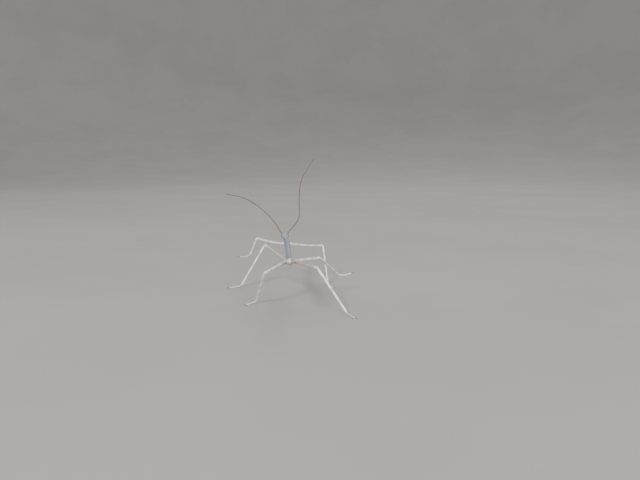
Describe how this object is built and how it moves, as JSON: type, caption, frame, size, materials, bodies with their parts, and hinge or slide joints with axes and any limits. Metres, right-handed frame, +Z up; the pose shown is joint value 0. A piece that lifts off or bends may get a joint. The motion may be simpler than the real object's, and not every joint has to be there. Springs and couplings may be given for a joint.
{
  "type": "giant stick insect",
  "caption": "Slender long-horned stick insect in mid stride, head and tail raised and feelers spread; a still, life-size museum-type model that stands on its planted feet.",
  "frame": {"origin": "on the floor, under the middle of the model's outline", "axes": "+Y the way the insect faces, +X its right side, +Z up"},
  "size_m": [0.0422, 0.0776, 0.0415],
  "materials": {
    "body_cuticle": "matte grey cuticle with a fine grain and paler, greenish edges at the tail",
    "leg_cuticle": "pale lilac-grey to pinkish-buff cuticle, satin, with faint darker bands",
    "feeler_cuticle": "thin ringed grey-brown cuticle, redder towards the tips",
    "eye": "dark brown, glossy, finely faceted",
    "claw": "brown horn, glossy"
  },
  "bodies": {
    "root": {"head": "body_cuticle", "mouthparts": "body_cuticle", "prothorax": "body_cuticle", "mesothorax": "body_cuticle", "metathorax": "body_cuticle", "abdomen_1": "body_cuticle", "abdomen_2": "body_cuticle", "abdomen_3": "body_cuticle", "abdomen_4": "body_cuticle", "abdomen_5": "body_cuticle", "cercus_left": "body_cuticle", "eye_left": "eye", "palp_left": "leg_cuticle", "antenna_left_base": "feeler_cuticle", "antenna_left_1": "feeler_cuticle", "antenna_left_2": "feeler_cuticle", "antenna_left_3": "feeler_cuticle", "cercus_right": "body_cuticle", "eye_right": "eye", "palp_right": "leg_cuticle", "antenna_right_base": "feeler_cuticle", "antenna_right_1": "feeler_cuticle", "antenna_right_2": "feeler_cuticle", "antenna_right_3": "feeler_cuticle", "coxa_front_left": "leg_cuticle", "femur_front_left": "leg_cuticle", "tibia_front_left": "leg_cuticle", "tarsus_front_left": "leg_cuticle", "claws_front_left": "claw", "coxa_front_right": "leg_cuticle", "femur_front_right": "leg_cuticle", "tibia_front_right": "leg_cuticle", "tarsus_front_right": "leg_cuticle", "claws_front_right": "claw", "coxa_mid_left": "leg_cuticle", "femur_mid_left": "leg_cuticle", "tibia_mid_left": "leg_cuticle", "tarsus_mid_left": "leg_cuticle", "claws_mid_left": "claw", "coxa_mid_right": "leg_cuticle", "femur_mid_right": "leg_cuticle", "tibia_mid_right": "leg_cuticle", "tarsus_mid_right": "leg_cuticle", "claws_mid_right": "claw", "coxa_hind_left": "leg_cuticle", "femur_hind_left": "leg_cuticle", "tibia_hind_left": "leg_cuticle", "tarsus_hind_left": "leg_cuticle", "claws_hind_left": "claw", "coxa_hind_right": "leg_cuticle", "femur_hind_right": "leg_cuticle", "tibia_hind_right": "leg_cuticle", "tarsus_hind_right": "leg_cuticle", "claws_hind_right": "claw"}
  },
  "joints": []
}
